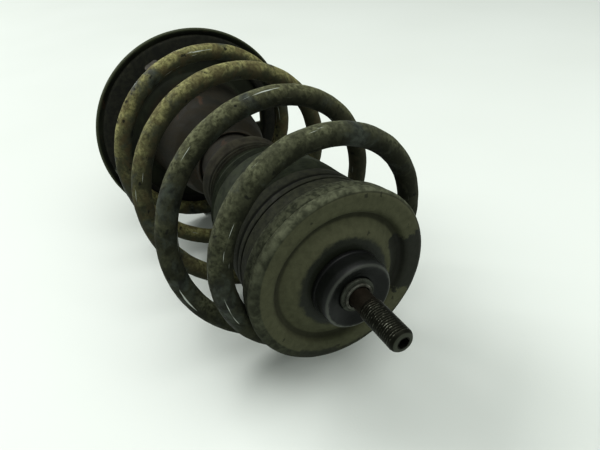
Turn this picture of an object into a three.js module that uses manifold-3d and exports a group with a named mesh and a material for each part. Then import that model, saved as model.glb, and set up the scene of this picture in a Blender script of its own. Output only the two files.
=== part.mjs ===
// Front suspension strut, lying on its side: a twin-tube damper with its coil spring,
// spring seats, rubber pads, dust boot, swivel bearing and threaded rod end.
// Units are millimetres. +X runs along the damper towards the threaded rod end, +Z is up.
// Stations along the damper are measured from the front plane of the upper spring seat.
import * as THREE from "three";
import { mergeVertices } from "three/addons/utils/BufferGeometryUtils.js";
import Module from "manifold-3d";

const wasm = await Module();
wasm.setup();

// Driving dimensions.
const ROD_RADIUS = 11; // 22 mm piston rod
const STUD_RADIUS = 7; // M14 x 1.5 threaded end
const STUD_END = 55;
const TUBE_RADIUS = 26;
const TUBE_WALL = 2.4;
const TUBE_TOP = -140;
const TUBE_BOTTOM = -470;
const UPPER_SEAT_RADIUS = 56.6;
const LOWER_SEAT_RADIUS = 94;
const LOWER_LIP = -267.6;
const WIRE_RADIUS = 7; // 14 mm spring wire
const SPRING_RADIUS = 80;
const SPRING_PITCH = 69.2;
const GAP = 0.3; // clearance between fitted pieces
const TRAVEL = 78; // rod travel until the bump stop meets the tube

const ROUND = 24; // facets round most turned pieces
const FINE = 28; // round the pieces that carry the spring
const COARSE = 16; // round the small pieces sealed inside
const RIM_FACETS = 32; // round the big seat, which the strut lies on
const STEEL = 2.6; // seat plate thickness

// The wheel side of the damper: the knuckle bracket and the seat's tyre notch face it.
const WHEEL_SIDE = THREE.MathUtils.degToRad(248);

const group = new THREE.Group();
group.name = "strut_assembly";

function addPiece(name, geometry, color, roughness, metalness) {
  const material = new THREE.MeshStandardMaterial({ color, roughness, metalness });
  material.name = name;
  const mesh = new THREE.Mesh(geometry, material);
  mesh.name = name;
  group.add(mesh);
  return mesh;
}

// Booleans: a three.js geometry becomes a manifold, is cut or joined, and comes back.
function toManifold(geometry) {
  const plain = geometry.clone();
  plain.deleteAttribute("normal");
  plain.deleteAttribute("uv");
  const merged = mergeVertices(plain, 1e-4);
  const mesh = new wasm.Mesh({
    numProp: 3,
    vertProperties: Float32Array.from(merged.attributes.position.array),
    triVerts: Uint32Array.from(merged.index.array),
  });
  return new wasm.Manifold(mesh);
}

function fromManifold(solid) {
  const mesh = solid.getMesh();
  const geometry = new THREE.BufferGeometry();
  geometry.setAttribute("position", new THREE.BufferAttribute(mesh.vertProperties, 3));
  geometry.setIndex(new THREE.BufferAttribute(mesh.triVerts, 1));
  const flat = geometry.toNonIndexed();
  flat.computeVertexNormals();
  return flat;
}

function cut(geometry, ...tools) {
  return fromManifold(tools.reduce((solid, tool) => solid.subtract(toManifold(tool)), toManifold(geometry)));
}

function join(geometry, ...others) {
  return fromManifold(others.reduce((solid, other) => solid.add(toManifold(other)), toManifold(geometry)));
}

// A turned piece: the closed outline is a list of [radius, station] points, taken round the X axis.
// A facet, not a corner, faces straight down.
function turned(outline, facets = ROUND) {
  const closed = outline[0][0] < 1e-6 ? outline : [...outline, outline[0]];
  const points = closed.map(([radius, station]) => new THREE.Vector2(radius, station));
  const geometry = new THREE.LatheGeometry(points, facets, Math.PI / facets);
  geometry.rotateZ(-Math.PI / 2);
  return facingOut(geometry);
}

// Lathes wind inwards or outwards with the outline's direction; a negative volume is turned over.
function facingOut(geometry) {
  const position = geometry.attributes.position;
  const index = geometry.index.array;
  const a = new THREE.Vector3();
  const b = new THREE.Vector3();
  const c = new THREE.Vector3();
  let volume = 0;
  for (let i = 0; i < index.length; i += 3) {
    a.fromBufferAttribute(position, index[i]);
    b.fromBufferAttribute(position, index[i + 1]);
    c.fromBufferAttribute(position, index[i + 2]);
    volume += a.dot(b.cross(c));
  }
  if (volume < 0) {
    for (let i = 0; i < index.length; i += 3) {
      [index[i + 1], index[i + 2]] = [index[i + 2], index[i + 1]];
    }
  }
  return geometry;
}

// A plain ring between two radii and two stations.
function ring(inner, outer, from, to, facets = ROUND) {
  return turned([[inner, from], [outer, from], [outer, to], [inner, to]], facets);
}

// A flat outline drawn across the damper (Y to the right, Z up), given thickness along X.
function plateAcross(shape, from, to) {
  const geometry = new THREE.ExtrudeGeometry(shape, { depth: to - from, bevelEnabled: false, curveSegments: 6 });
  geometry.applyMatrix4(new THREE.Matrix4().makeBasis(
    new THREE.Vector3(0, 1, 0),
    new THREE.Vector3(0, 0, 1),
    new THREE.Vector3(1, 0, 0),
  ));
  geometry.translate(from, 0, 0);
  return geometry;
}

function roundedRectangle(width, height, corner) {
  const shape = new THREE.Shape();
  const x = width / 2;
  const y = height / 2;
  shape.moveTo(-x + corner, -y);
  shape.lineTo(x - corner, -y);
  shape.absarc(x - corner, -y + corner, corner, -Math.PI / 2, 0);
  shape.lineTo(x, y - corner);
  shape.absarc(x - corner, y - corner, corner, 0, Math.PI / 2);
  shape.lineTo(-x + corner, y);
  shape.absarc(-x + corner, y - corner, corner, Math.PI / 2, Math.PI);
  shape.lineTo(-x, -y + corner);
  shape.absarc(-x + corner, -y + corner, corner, Math.PI, 1.5 * Math.PI);
  return shape;
}

function hexagon(acrossFlats) {
  const shape = new THREE.Shape();
  for (let i = 0; i < 6; i += 1) {
    const angle = (i * Math.PI) / 3;
    const corner = acrossFlats / Math.sqrt(3);
    shape.lineTo(corner * Math.cos(angle), corner * Math.sin(angle));
  }
  shape.closePath();
  return shape;
}

// ---------------------------------------------------------------- damper body

const tubeInner = TUBE_RADIUS - TUBE_WALL;
addPiece("outer_tube", ring(tubeInner, TUBE_RADIUS, TUBE_BOTTOM + 6, TUBE_TOP), 0x1d1e1d, 0.55, 0.6);

// The pressed base, welded into the tube's lower end.
addPiece("tube_base", turned([
  [0, TUBE_BOTTOM],
  [18, TUBE_BOTTOM],
  [TUBE_RADIUS - 1, TUBE_BOTTOM + 3],
  [TUBE_RADIUS, TUBE_BOTTOM + 5.6],
  [tubeInner - GAP, TUBE_BOTTOM + 5.6],
  [tubeInner - GAP, TUBE_BOTTOM + 9],
  [0, TUBE_BOTTOM + 9],
]), 0x222321, 0.6, 0.6);

const pressureOuter = 17;
const pressureInner = 15.5;
const pressureTop = TUBE_TOP - 18;
const valveTop = TUBE_BOTTOM + 22;
addPiece("pressure_tube", ring(pressureInner, pressureOuter, valveTop - 4, pressureTop, COARSE), 0x8b8c8a, 0.3, 0.9);

addPiece("base_valve", turned([
  [0, TUBE_BOTTOM + 9.4],
  [19, TUBE_BOTTOM + 9.4],
  [19, TUBE_BOTTOM + 13],
  [pressureOuter, valveTop - 4 - GAP],
  [pressureInner - GAP, valveTop - 4 - GAP],
  [pressureInner - GAP, valveTop + 4],
  [4, valveTop + 4],
  [4, valveTop + 7],
  [0, valveTop + 7],
], COARSE), 0x8a7f5a, 0.4, 0.8);

// The rod guide closes the pressure tube and centres the rod.
addPiece("rod_guide", turned([
  [ROD_RADIUS + GAP, pressureTop - 6],
  [pressureInner - GAP, pressureTop - 6],
  [pressureInner - GAP, pressureTop + GAP],
  [tubeInner - GAP, pressureTop + GAP],
  [tubeInner - GAP, TUBE_TOP - 9],
  [ROD_RADIUS + GAP, TUBE_TOP - 9],
], COARSE), 0x77787a, 0.45, 0.8);

addPiece("rod_seal", turned([
  [ROD_RADIUS + GAP, TUBE_TOP - 8.7],
  [tubeInner - GAP, TUBE_TOP - 8.7],
  [tubeInner - GAP, TUBE_TOP - 4.5],
  [15, TUBE_TOP - 4.5],
  [13.5, TUBE_TOP - 1.5],
  [ROD_RADIUS + GAP, TUBE_TOP - 1.5],
], COARSE), 0x141414, 0.8, 0);

// The closing cap, rolled over the tube's top and left with a raised pad for the bump stop.
addPiece("gland_cap", turned([
  [15.5, TUBE_TOP - 4.2],
  [tubeInner - GAP, TUBE_TOP - 4.2],
  [tubeInner - GAP, TUBE_TOP + GAP],
  [TUBE_RADIUS - 0.5, TUBE_TOP + GAP],
  [TUBE_RADIUS - 1.5, TUBE_TOP + 3],
  [20, TUBE_TOP + 4],
  [14, TUBE_TOP + 4],
  [14, TUBE_TOP - 1],
  [15.5, TUBE_TOP - 1],
], COARSE), 0x262725, 0.6, 0.6);

// Lower spring seat: a pressed dish with a rolled lip and a tall neck that grips the tube.
const floorFront = LOWER_LIP - 4.6;
const neck = TUBE_RADIUS + GAP;
const lowerSeatTurned = turned([
  [neck, -178],
  [neck + 2.4, -177],
  [neck + 3, -182],
  [36, -190],
  [41, -205],
  [46, -240],
  [49, -262],
  [54, floorFront],
  [88, floorFront],
  [91, LOWER_LIP - 1],
  [LOWER_SEAT_RADIUS - 1.6, LOWER_LIP],
  [LOWER_SEAT_RADIUS, LOWER_LIP - 1.6],
  [LOWER_SEAT_RADIUS, LOWER_LIP - 4],
  [91, floorFront - STEEL],
  [52, floorFront - STEEL],
  [46.6, -264],
  [43.5, -241],
  [38.5, -207],
  [33.5, -192.5],
  [neck, -186],
], RIM_FACETS);
const notchDepth = 12.5;
const notch = plateAcross(roundedRectangle(notchDepth * 4, 48, 6), floorFront - 20, LOWER_LIP + 20);
notch.translate(0, LOWER_SEAT_RADIUS - notchDepth + notchDepth * 2, 0);
notch.rotateX(WHEEL_SIDE);
const drainHole = plateAcross(roundedRectangle(11, 12, 1.5), floorFront - 10, LOWER_LIP + 10);
drainHole.translate(0, 61.5, 0);
drainHole.rotateX(THREE.MathUtils.degToRad(-2.5));
const locatingSlot = plateAcross(roundedRectangle(6, 13, 2.5), floorFront - 10, LOWER_LIP + 10);
locatingSlot.translate(0, 74, 0);
locatingSlot.rotateX(THREE.MathUtils.degToRad(114));
addPiece("lower_spring_seat", cut(lowerSeatTurned, notch, drainHole, locatingSlot), 0x2c2d26, 0.75, 0.4);

// Spring centreline: flat on the lower pad, even pitch, then a tighter, smaller top turn.
const SPRING_START = -150; // degrees
const PAD_LEAVE = -30;
const TAPER_START = 1010;
const SPRING_END = 1330;
const TOP_PITCH = 34.2;
const SPRING_PHASE = -20.2;
const LEAVE_STATION = -258;
const SEATED_DROP = 3.6;

function springStation(angle) {
  if (angle < PAD_LEAVE) {
    const part = (angle - SPRING_START) / (PAD_LEAVE - SPRING_START);
    return LEAVE_STATION - SEATED_DROP * (1 - part * part * part);
  }
  const even = Math.min(angle, TAPER_START) - PAD_LEAVE;
  const tapered = Math.max(angle - TAPER_START, 0);
  const pitchFall = (SPRING_PITCH - TOP_PITCH) / (SPRING_END - TAPER_START);
  const taperedRise = (SPRING_PITCH * tapered - (pitchFall * tapered * tapered) / 2) / 360;
  return LEAVE_STATION + (SPRING_PITCH * even) / 360 + taperedRise;
}

function springRadius(angle) {
  const shoulder = THREE.MathUtils.smoothstep(angle, 930, 1085);
  const pigtail = THREE.MathUtils.clamp((angle - 1200) / (SPRING_END - 1200), 0, 1);
  return SPRING_RADIUS - 4 * shoulder - 28 * pigtail * (0.4 + 0.6 * pigtail);
}

class SpringLine extends THREE.Curve {
  getPoint(part, target = new THREE.Vector3()) {
    const angle = SPRING_START + part * (SPRING_END - SPRING_START);
    const turn = THREE.MathUtils.degToRad(angle + SPRING_PHASE);
    const radius = springRadius(angle);
    return target.set(springStation(angle), radius * Math.cos(turn), radius * Math.sin(turn));
  }
}

// The wire is swept along the centreline as rings of points, capped at both ends.
function wire(radius, sides, steps) {
  const line = new SpringLine();
  const positions = [];
  const indices = [];
  const across = new THREE.Vector3();
  const up = new THREE.Vector3();
  for (let i = 0; i <= steps; i += 1) {
    const centre = line.getPoint(i / steps);
    const tangent = line.getTangent(i / steps);
    across.set(0, centre.y, centre.z).normalize();
    across.addScaledVector(tangent, -across.dot(tangent)).normalize();
    up.crossVectors(tangent, across);
    for (let k = 0; k < sides; k += 1) {
      const angle = (k / sides) * 2 * Math.PI;
      const point = centre.clone();
      point.addScaledVector(across, radius * Math.cos(angle));
      point.addScaledVector(up, radius * Math.sin(angle));
      positions.push(point.x, point.y, point.z);
    }
  }
  for (let i = 0; i < steps; i += 1) {
    for (let k = 0; k < sides; k += 1) {
      const next = (k + 1) % sides;
      const a = i * sides + k;
      const b = i * sides + next;
      indices.push(a, b, a + sides, b, b + sides, a + sides);
    }
  }
  const last = steps * sides;
  for (let k = 1; k < sides - 1; k += 1) {
    indices.push(0, k + 1, k);
    indices.push(last, last + k, last + k + 1);
  }
  const geometry = new THREE.BufferGeometry();
  geometry.setAttribute("position", new THREE.Float32BufferAttribute(positions, 3));
  geometry.setIndex(indices);
  return facingOut(geometry);
}

addPiece("coil_spring", wire(WIRE_RADIUS, 10, 100), 0x35352c, 0.6, 0.35);
const wireRoom = wire(WIRE_RADIUS + 0.6, 10, 100);

addPiece("lower_spring_pad", cut(turned([
  [70, floorFront + GAP],
  [87.4, floorFront + GAP],
  [87.4, floorFront + 2.4],
  [86, floorFront + 3.2],
  [72, floorFront + 3.2],
  [70, floorFront + 2.4],
], FINE), wireRoom, locatingSlot), 0x171816, 0.9, 0);

// Knuckle bracket: a strap wrapped round the tube whose two ears clamp the wheel knuckle.
const BRACKET_FROM = -462;
const BRACKET_TO = -372;
const BRACKET_STEEL = 4;
const EAR_REACH = 74;
const EAR_INNER = 14; // half the space between the ears
const BOLT_OFFSET = 55;
const BOLT_HOLE = 6.2;
function bracketOutline() {
  const inner = TUBE_RADIUS + GAP;
  const outer = inner + BRACKET_STEEL;
  const innerStart = Math.asin(EAR_INNER / inner);
  const outerStart = Math.asin((EAR_INNER + BRACKET_STEEL) / outer);
  const shape = new THREE.Shape();
  shape.moveTo(EAR_REACH, EAR_INNER);
  shape.lineTo(EAR_REACH, EAR_INNER + BRACKET_STEEL);
  shape.absarc(0, 0, outer, outerStart, 2 * Math.PI - outerStart, false);
  shape.lineTo(EAR_REACH, -EAR_INNER - BRACKET_STEEL);
  shape.lineTo(EAR_REACH, -EAR_INNER);
  shape.absarc(0, 0, inner, 2 * Math.PI - innerStart, innerStart, true);
  shape.closePath();
  return shape;
}
const bracketStrap = new THREE.ExtrudeGeometry(bracketOutline(), {
  depth: BRACKET_TO - BRACKET_FROM,
  bevelEnabled: false,
  curveSegments: 28,
});
bracketStrap.applyMatrix4(new THREE.Matrix4().makeBasis(
  new THREE.Vector3(0, 1, 0),
  new THREE.Vector3(0, 0, 1),
  new THREE.Vector3(1, 0, 0),
));
bracketStrap.translate(BRACKET_FROM, 0, 0);
const boltHoles = [BRACKET_FROM + 18, BRACKET_TO - 18].map((station) => {
  const hole = new THREE.CylinderGeometry(BOLT_HOLE, BOLT_HOLE, 80, 20);
  hole.rotateX(Math.PI / 2);
  hole.translate(station, BOLT_OFFSET, 0);
  return hole;
});
const bracket = cut(bracketStrap, ...boltHoles);
bracket.rotateX(WHEEL_SIDE);
addPiece("knuckle_bracket", bracket, 0x232422, 0.6, 0.55);

// ---------------------------------------------------------------- spring head

// Upper spring seat: a steel cap with a turned-back rim, a raised outer ring, a step down and a domed middle.
addPiece("upper_spring_seat", turned([
  [12.2, 2],
  [25, 2],
  [31, 0.4],
  [37, -2.8],
  [41, -4],
  [43, -3],
  [44.5, -0.4],
  [46.5, 0],
  [51.5, 0],
  [UPPER_SEAT_RADIUS - 2.1, -0.6],
  [UPPER_SEAT_RADIUS - 0.4, -2],
  [UPPER_SEAT_RADIUS, -3.5],
  [UPPER_SEAT_RADIUS - 0.3, -6.2],
  [UPPER_SEAT_RADIUS - 2.6, -6.2],
  [UPPER_SEAT_RADIUS - 2.8, -3.6],
  [51, -STEEL],
  [47, -STEEL],
  [46, -STEEL - 2.4],
  [42, -STEEL - 4],
  [36, -STEEL - 2.8],
  [30, 0.4 - STEEL],
  [25, 2 - STEEL],
  [12.2, 2 - STEEL],
], FINE), 0x4a4b42, 0.8, 0.35);

// Upper rubber pad, with a groove for the last turn of the spring.
addPiece("upper_spring_pad", cut(turned([
  [37, -7.2],
  [46, -7],
  [52, -6.6],
  [UPPER_SEAT_RADIUS - 0.8, -6.6],
  [UPPER_SEAT_RADIUS - 2, -20],
  [52, -32],
  [50.5, -33],
  [32, -33],
  [32, -7.2],
], FINE), wireRoom), 0x2b2c27, 0.9, 0);

addPiece("boot_collar", turned([
  [42, -33.4],
  [49.6, -33.4],
  [49.3, -41],
  [48.4, -50],
  [45, -50],
  [45, -39],
  [42, -37],
]), 0x262827, 0.6, 0);

// Dust boot: a rubber gaiter that necks down to a ribbed end and closes in a cuff round the tube.
const BOOT_TOP = -50.4;
const BOOT_BOTTOM = -147;
const BOOT_WALL = 1.5;
const BOOT_RIB = 1.6;
function bootRadius(station) {
  const slope = 3.4 * THREE.MathUtils.smoothstep(-station, 55, 105);
  const neckDown = 10.2 * THREE.MathUtils.smoothstep(-station, 98, 127);
  const endFlange = 1.4 * THREE.MathUtils.smoothstep(-station, 138, 145);
  return 47.6 - slope - neckDown + endFlange;
}
function bootOutline() {
  const outline = [];
  const folds = 9;
  const pitch = (BOOT_TOP - BOOT_BOTTOM) / folds;
  for (let i = 0; i < folds; i += 1) {
    const station = BOOT_TOP - i * pitch;
    outline.push([bootRadius(station) - BOOT_RIB, station]);
    outline.push([bootRadius(station - pitch / 2), station - pitch / 2]);
  }
  const cuff = TUBE_RADIUS + GAP + 0.1;
  outline.push([bootRadius(BOOT_BOTTOM) - 0.4, BOOT_BOTTOM]);
  outline.push([cuff, BOOT_BOTTOM], [cuff, BOOT_BOTTOM + 6], [cuff + 2, BOOT_BOTTOM + 6], [cuff + 2, BOOT_BOTTOM + 2]);
  const inside = [BOOT_BOTTOM + 2, -127, -119, -108, -98, -75, BOOT_TOP].map((station) => (
    [bootRadius(station) - BOOT_RIB - BOOT_WALL, station]
  ));
  return [...outline, ...inside];
}
addPiece("dust_boot", turned(bootOutline()), 0x23261f, 0.75, 0);

// Foam bump stop round the rod, held in a steel cup under the upper seat.
const BUMP_END = TUBE_TOP + 4 + TRAVEL + 0.8;
addPiece("bump_stop", turned([
  [ROD_RADIUS + 0.6, -11],
  [23, -11],
  [23, -24],
  [19.5, -28],
  [22, -33],
  [18.5, -43],
  [20.5, -47],
  [17, BUMP_END + 4],
  [14, BUMP_END],
  [ROD_RADIUS + 0.6, BUMP_END],
], COARSE), 0x8f7a45, 0.95, 0);

addPiece("bump_stop_cup", turned([
  [ROD_RADIUS + 0.8, -10.6],
  [23.4, -10.6],
  [23.4, -16],
  [25.4, -16],
  [25.4, -1.2],
  [ROD_RADIUS + 0.8, -1.2],
], COARSE), 0x2a2b29, 0.6, 0.5);

// ---------------------------------------------------------------- swivel bearing

const BALL_CIRCLE = 15;
const BALL_RADIUS = 1.6;
const BALL_STATION = 6.1;
const RACE_INNER = 12.4;
const RACE_OUTER = 17.6;
const BALL_COUNT = 10;
function raceGroove(side) {
  const room = BALL_RADIUS + 0.4;
  const reach = 1.3;
  return [-1, -0.5, 0, 0.5, 1].map((part) => [
    BALL_CIRCLE + part * reach,
    BALL_STATION + side * Math.sqrt(room * room - part * part * reach * reach),
  ]);
}
addPiece("bearing_lower_race", turned([
  [RACE_INNER, 2.4],
  [RACE_OUTER, 2.4],
  [RACE_OUTER, 4.7],
  ...raceGroove(-1).reverse(),
  [RACE_INNER, 4.7],
], 20), 0x6f706c, 0.35, 0.9);
addPiece("bearing_upper_race", turned([
  [RACE_INNER, 9.7],
  [RACE_INNER, 7.5],
  ...raceGroove(1),
  [RACE_OUTER, 7.5],
  [RACE_OUTER, 9.7],
], 20), 0x6f706c, 0.35, 0.9);

const balls = [];
for (let i = 0; i < BALL_COUNT; i += 1) {
  const ball = new THREE.SphereGeometry(BALL_RADIUS, 8, 5);
  const angle = (i / BALL_COUNT) * 2 * Math.PI;
  ball.translate(BALL_STATION, BALL_CIRCLE * Math.cos(angle), BALL_CIRCLE * Math.sin(angle));
  balls.push(ball);
}
const cageRing = ring(12.8, 17.2, BALL_STATION - 0.45, BALL_STATION + 0.45, 20);
addPiece("ball_cage", join(cageRing, ...balls), 0x9a8f5c, 0.4, 0.7);

// ---------------------------------------------------------------- rod and top bush

// Black bush that caps the bearing: a shallow dished face, a rounded rim and a skirt over the races.
addPiece("top_bush", turned([
  [10, 10],
  [18.1, 10],
  [18.1, 2.6],
  [22, 2.6],
  [22, 4.8],
  [21.7, 5.6],
  [21.7, 13],
  [21.2, 15.2],
  [20.4, 16.5],
  [19.2, 16.5],
  [17.4, 15.4],
  [15, 14],
  [12.6, 13],
  [10, 12.8],
], FINE), 0x16191b, 0.5, 0);

// Steel sleeve through the bush; its flange is the grey washer round the stud.
addPiece("bush_sleeve", turned([
  [STUD_RADIUS + GAP, 2],
  [9.6, 2],
  [9.6, 13.2],
  [10.6, 13.2],
  [10.6, 14.4],
  [10.1, 14.8],
  [STUD_RADIUS + GAP, 14.8],
], 20), 0x6a6b66, 0.5, 0.7);

addPiece("lock_ring", turned([
  [STUD_RADIUS + GAP, 15.1],
  [8.5, 15.1],
  [8.5, 15.8],
  [8.1, 16.3],
  [STUD_RADIUS + GAP, 16.3],
], 20), 0x7a7a74, 0.35, 0.85);

// Piston rod: hardened shaft, shoulder under the sleeve, M14 stud with a hexagon socket in its end.
const PISTON_TOP = pressureTop - 24;
const rodTurned = turned([
  [0, PISTON_TOP - 22],
  [5, PISTON_TOP - 22],
  [5, PISTON_TOP],
  [ROD_RADIUS, PISTON_TOP + 0.5],
  [ROD_RADIUS, 0.8],
  [ROD_RADIUS - 0.8, 1.7],
  [STUD_RADIUS, 1.7],
  [STUD_RADIUS, STUD_END - 2.4],
  [STUD_RADIUS - 1.8, STUD_END],
  [0, STUD_END],
]);
const socket = plateAcross(hexagon(6), STUD_END - 8, STUD_END + 5);
addPiece("piston_rod", cut(rodTurned, socket), 0x4b4642, 0.3, 0.9);

addPiece("rebound_stop", turned([
  [ROD_RADIUS + GAP, PISTON_TOP + 9],
  [14.8, PISTON_TOP + 9],
  [14.8, PISTON_TOP + 17.6],
  [ROD_RADIUS + GAP, PISTON_TOP + 17.6],
], COARSE), 0x30302e, 0.8, 0);

addPiece("piston", turned([
  [5 + GAP, PISTON_TOP - 12],
  [13, PISTON_TOP - 12],
  [13, PISTON_TOP - 9],
  [14.9, PISTON_TOP - 9],
  [14.9, PISTON_TOP - 8],
  [13.4, PISTON_TOP - 8],
  [13.4, PISTON_TOP - 3],
  [14.9, PISTON_TOP - 3],
  [14.9, PISTON_TOP - GAP],
  [5 + GAP, PISTON_TOP - GAP],
], COARSE), 0x7d7d78, 0.5, 0.8);

addPiece("piston_ring", ring(13.7, 15, PISTON_TOP - 7.7, PISTON_TOP - 3.3, COARSE), 0x14201a, 0.6, 0);

const nutBlank = plateAcross(hexagon(17), PISTON_TOP - 20, PISTON_TOP - 12.4);
addPiece("piston_nut", cut(nutBlank, turned([
  [0, PISTON_TOP - 30],
  [5 + GAP, PISTON_TOP - 30],
  [5 + GAP, PISTON_TOP],
  [0, PISTON_TOP],
], COARSE)), 0x70706c, 0.4, 0.85);

// The strut lies on its side: the bounding box's bottom centre is the origin.
const extent = new THREE.Box3();
group.children.forEach((mesh) => extent.expandByObject(mesh, true));
const lift = new THREE.Vector3(-(extent.min.x + extent.max.x) / 2, -(extent.min.y + extent.max.y) / 2, -extent.min.z);
group.children.forEach((mesh) => mesh.position.copy(lift));

export default group;
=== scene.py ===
# %% [markdown]
# # A used suspension strut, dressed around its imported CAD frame
#
# The strut lies on its side on a pale bench. The CAD frame gives every size and every body that
# moves; this notebook gives the pieces that show their real surfaces: sheet metal with rolled
# edges, a ribbed rubber boot, a sprung wire under dried mud, and a cut screw thread.

# %% Load the frame
import math

import bpy
from mathutils import Matrix, Vector


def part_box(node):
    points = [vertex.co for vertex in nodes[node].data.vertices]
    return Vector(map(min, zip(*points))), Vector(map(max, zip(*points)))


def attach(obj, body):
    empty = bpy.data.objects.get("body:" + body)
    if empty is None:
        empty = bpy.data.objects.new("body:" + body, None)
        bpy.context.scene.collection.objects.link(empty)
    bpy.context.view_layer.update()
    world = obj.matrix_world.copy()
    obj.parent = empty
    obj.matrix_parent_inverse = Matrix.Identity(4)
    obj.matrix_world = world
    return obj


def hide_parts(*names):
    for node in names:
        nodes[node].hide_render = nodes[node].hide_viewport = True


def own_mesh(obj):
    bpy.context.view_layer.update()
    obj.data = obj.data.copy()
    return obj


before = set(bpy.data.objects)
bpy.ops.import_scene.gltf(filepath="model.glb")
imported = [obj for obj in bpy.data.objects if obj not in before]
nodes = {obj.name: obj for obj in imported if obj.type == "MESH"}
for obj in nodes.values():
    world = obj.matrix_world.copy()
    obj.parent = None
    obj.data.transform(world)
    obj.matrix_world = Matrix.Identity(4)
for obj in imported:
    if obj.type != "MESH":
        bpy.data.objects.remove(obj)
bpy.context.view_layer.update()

# %% [markdown]
# ## Places along the damper
#
# A damper is a turned thing, so a place on it is a station along its axis and a radius from it.
# Stations are counted in millimetres from the front plane of the upper spring seat, as a fitter
# would measure with a steel rule. The frame runs along X, so one shift turns a station into X.
# The shift is read from the frame itself: the threaded end's tip is at station 55.

# %% Stations and radii
MM = 0.001
STUD_TIP = 55.0
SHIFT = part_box("piston_rod")[1].x / MM - STUD_TIP
AXIS_HEIGHT = (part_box("outer_tube")[0].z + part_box("outer_tube")[1].z) / 2


def along(station):
    """X in metres of a station in millimetres."""
    return (station + SHIFT) * MM


def on_damper(station, radius, degrees):
    """A point on the damper; 0 degrees points along +Y and 90 straight up."""
    turn = math.radians(degrees)
    return Vector((along(station), radius * MM * math.cos(turn),
                   AXIS_HEIGHT + radius * MM * math.sin(turn)))


print("shift %.2f mm, axis %.2f mm above the bench" % (SHIFT, AXIS_HEIGHT / MM))

# %% [markdown]
# ## Camera
#
# The camera comes first, because everything is judged through it. It stands a little above the
# threaded end and looks back down the damper, close enough that the near end looms larger than
# the far seat. A camera is turned by three directions: where it looks, what is to its right and
# what is up. Building its matrix from those three keeps its small roll, which a simple
# "look at" would lose.

# %% Camera
CAMERA_LENS = 29.93
LOOK = Vector((-0.760, 0.348, -0.549))
RIGHT = Vector((0.458, 0.886, -0.072))
UP = Vector((-0.461, 0.306, 0.833))
CAMERA_PLACE = Vector((along(187.9), -0.1101, AXIS_HEIGHT + 0.1823))

bpy.ops.object.camera_add()
camera = bpy.context.object
camera.name = "camera"
camera.data.lens = CAMERA_LENS
turned_camera = Matrix((RIGHT, UP, -LOOK)).transposed().to_4x4()
turned_camera.translation = CAMERA_PLACE
camera.matrix_world = turned_camera
bpy.context.scene.camera = camera
print("camera at", tuple(round(v, 3) for v in CAMERA_PLACE))

# %% [markdown]
# ## Modelling helpers
#
# Nearly everything here was made on a lathe, a press or a coiling machine. A turned piece could
# be spun from an outline, but spinning leaves a seam that has to be welded. Pulling one ring out
# of another, and resizing each as it goes, gives the same shape with every ring closed, and it
# is how the shape would be built by hand. Everything is deselected before each new primitive,
# because an operator acts on all that is selected.

# %% Small tools
def deselect():
    if bpy.context.mode != "OBJECT":
        bpy.ops.object.mode_set(mode="OBJECT")
    bpy.ops.object.select_all(action="DESELECT")


def settle(piece, name):
    """Names the piece and moves its place, turn and size into its mesh."""
    deselect()
    piece.name = name
    piece.data.name = name
    piece.select_set(True)
    bpy.context.view_layer.objects.active = piece
    bpy.ops.object.transform_apply(location=True, rotation=True, scale=True)
    return piece


def report(piece):
    print("%-20s %6d faces, %s mm" % (piece.name, len(piece.data.polygons),
          " x ".join("%.1f" % (v / MM) for v in piece.dimensions)))


def smooth(piece, degrees=38):
    """Shades the piece smooth, but not across corners sharper than this, and reports it."""
    deselect()
    piece.select_set(True)
    bpy.context.view_layer.objects.active = piece
    bpy.ops.object.shade_smooth_by_angle(angle=math.radians(degrees))
    report(piece)


def apply_modifier(piece, kind, **settings):
    deselect()
    piece.select_set(True)
    bpy.context.view_layer.objects.active = piece
    modifier = piece.modifiers.new(kind.lower(), kind)
    for key, value in settings.items():
        setattr(modifier, key, value)
    bpy.ops.object.modifier_apply(modifier=modifier.name)
    return piece


print("tools ready")

# %% [markdown]
# A sharp corner never survives pressing, moulding or turning. Each corner of an outline is
# rounded before it is taken round the axis. Long stretches are then divided, so that dents and
# dried dirt have vertices to move.

# %% Outlines
def rounded(outline, size, cuts=4):
    """Rounds each corner of a closed outline of (radius, station) points."""
    points = [Vector(p) for p in outline]
    result = []
    for i, corner in enumerate(points):
        before = points[i - 1] - corner
        after = points[(i + 1) % len(points)] - corner
        reach = min(size, before.length * 0.45, after.length * 0.45)
        start = corner + before.normalized() * reach
        end = corner + after.normalized() * reach
        for k in range(cuts + 1):
            t = k / cuts
            result.append((1 - t) ** 2 * start + 2 * t * (1 - t) * corner + t ** 2 * end)
    return [tuple(p) for p in result]


def divided(outline, longest):
    """Adds points so that no stretch of a closed outline is longer than this."""
    result = []
    for i, point in enumerate(outline):
        following = outline[(i + 1) % len(outline)]
        length = math.dist(point, following)
        parts = max(1, math.ceil(length / longest))
        for k in range(parts):
            t = k / parts
            result.append((point[0] + (following[0] - point[0]) * t,
                           point[1] + (following[1] - point[1]) * t))
    return result


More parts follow.
